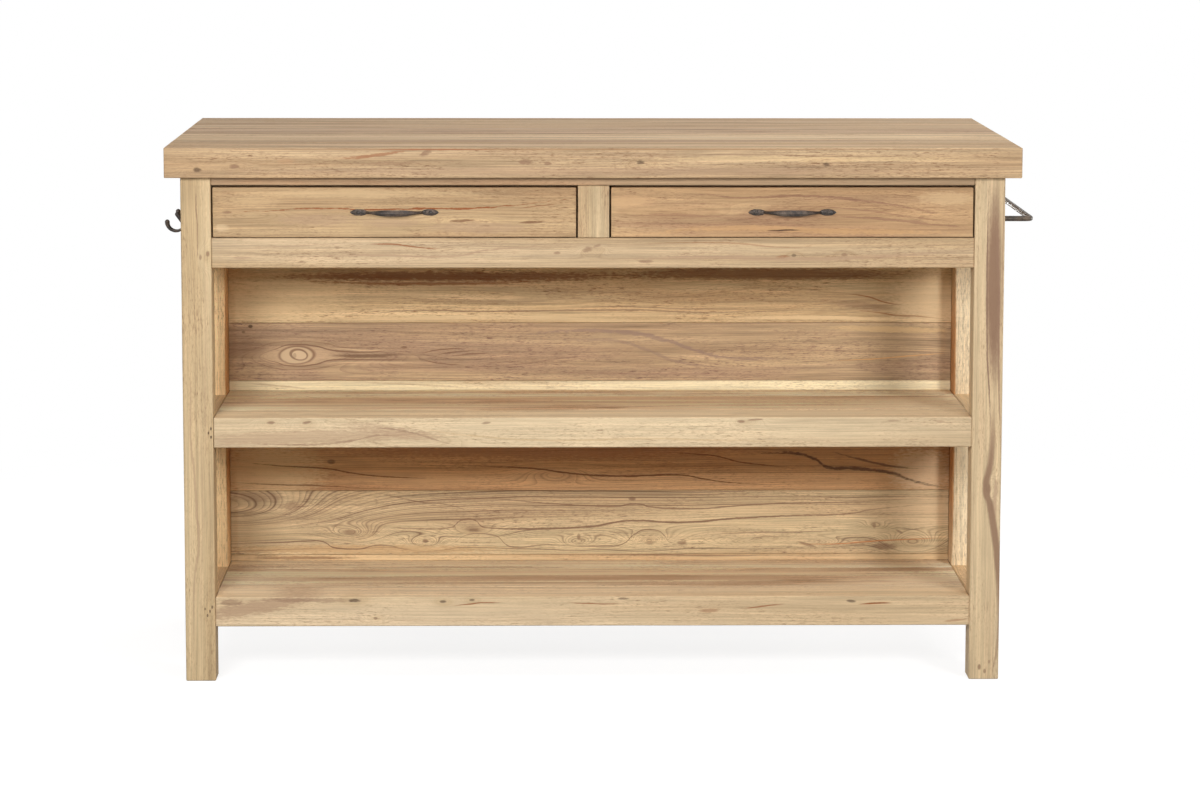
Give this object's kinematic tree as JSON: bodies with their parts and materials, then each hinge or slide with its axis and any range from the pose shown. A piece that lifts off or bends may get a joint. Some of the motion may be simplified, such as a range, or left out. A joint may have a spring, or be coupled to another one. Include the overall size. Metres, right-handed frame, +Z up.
{
  "type": "kitchen island",
  "caption": "Free-standing kitchen island in pale teak: plank worktop, inset drawers with iron bow handles, open shelves round a centre divider, a towel rail and hooks on the ends.",
  "frame": {"origin": "on the floor, at the middle of the four feet", "axes": "+Z up from the floor to the worktop; the drawers face -Y; +X runs along the worktop to the end with the towel rail"},
  "size_m": [1.4495, 0.7, 0.89],
  "materials": {
    "teak_pale": "matte, pale straw-coloured reclaimed teak",
    "teak_tan": "matte, tan reclaimed teak with darker streaks",
    "teak_brown": "matte, browner heartwood with knots",
    "wrought_iron": "blackened wrought iron, waxed",
    "screw_iron": "dull dark steel screws"
  },
  "bodies": {
    "frame": {"top_board_1": "teak_pale", "top_board_2": "teak_tan", "top_board_3": "teak_pale", "top_board_4": "teak_tan", "top_board_5": "teak_pale", "leg_front_left": "teak_pale", "leg_front_right": "teak_pale", "leg_rear_left": "teak_pale", "leg_rear_right": "teak_pale", "front_top_rail": "teak_pale", "drawer_rail": "teak_pale", "drawer_stile": "teak_pale", "rear_apron": "teak_tan", "side_apron_left": "teak_tan", "side_apron_right": "teak_tan", "mid_shelf_front_rail": "teak_pale", "mid_shelf_rear_rail": "teak_pale", "mid_side_rail_left": "teak_tan", "mid_side_rail_right": "teak_tan", "mid_shelf_board_1": "teak_tan", "mid_shelf_board_2": "teak_brown", "mid_shelf_board_3": "teak_tan", "lower_shelf_front_rail": "teak_pale", "lower_shelf_rear_rail": "teak_pale", "lower_side_rail_left": "teak_tan", "lower_side_rail_right": "teak_tan", "lower_shelf_board_1": "teak_tan", "lower_shelf_board_2": "teak_brown", "lower_shelf_board_3": "teak_tan", "divider_post_left": "teak_brown", "divider_post_right": "teak_brown", "upper_divider_board_1": "teak_pale", "upper_divider_board_2": "teak_brown", "upper_divider_board_3": "teak_tan", "lower_divider_board_1": "teak_pale", "lower_divider_board_2": "teak_tan", "lower_divider_board_3": "teak_brown", "left_runner": "teak_tan", "center_runner": "teak_tan", "right_runner": "teak_tan", "towel_rail": "wrought_iron", "hook_front": "wrought_iron", "hook_middle": "wrought_iron", "hook_rear": "wrought_iron", "side_screws": "screw_iron", "worktop_screws": "screw_iron"},
    "left_drawer": {"left_drawer_front": "teak_tan", "left_drawer_side_outer": "teak_pale", "left_drawer_side_inner": "teak_pale", "left_drawer_back": "teak_pale", "left_drawer_bottom": "teak_tan", "left_drawer_handle": "wrought_iron", "left_handle_screws": "screw_iron"},
    "right_drawer": {"right_drawer_front": "teak_tan", "right_drawer_side_outer": "teak_pale", "right_drawer_side_inner": "teak_pale", "right_drawer_back": "teak_pale", "right_drawer_bottom": "teak_tan", "right_drawer_handle": "wrought_iron", "right_handle_screws": "screw_iron"}
  },
  "joints": [
    {"name": "left_drawer_slide", "type": "slide", "parent": "frame", "child": "left_drawer", "axis": [0, -1, 0], "range_m": [0, 0.38]},
    {"name": "right_drawer_slide", "type": "slide", "parent": "frame", "child": "right_drawer", "axis": [0, -1, 0], "range_m": [0, 0.38]}
  ]
}
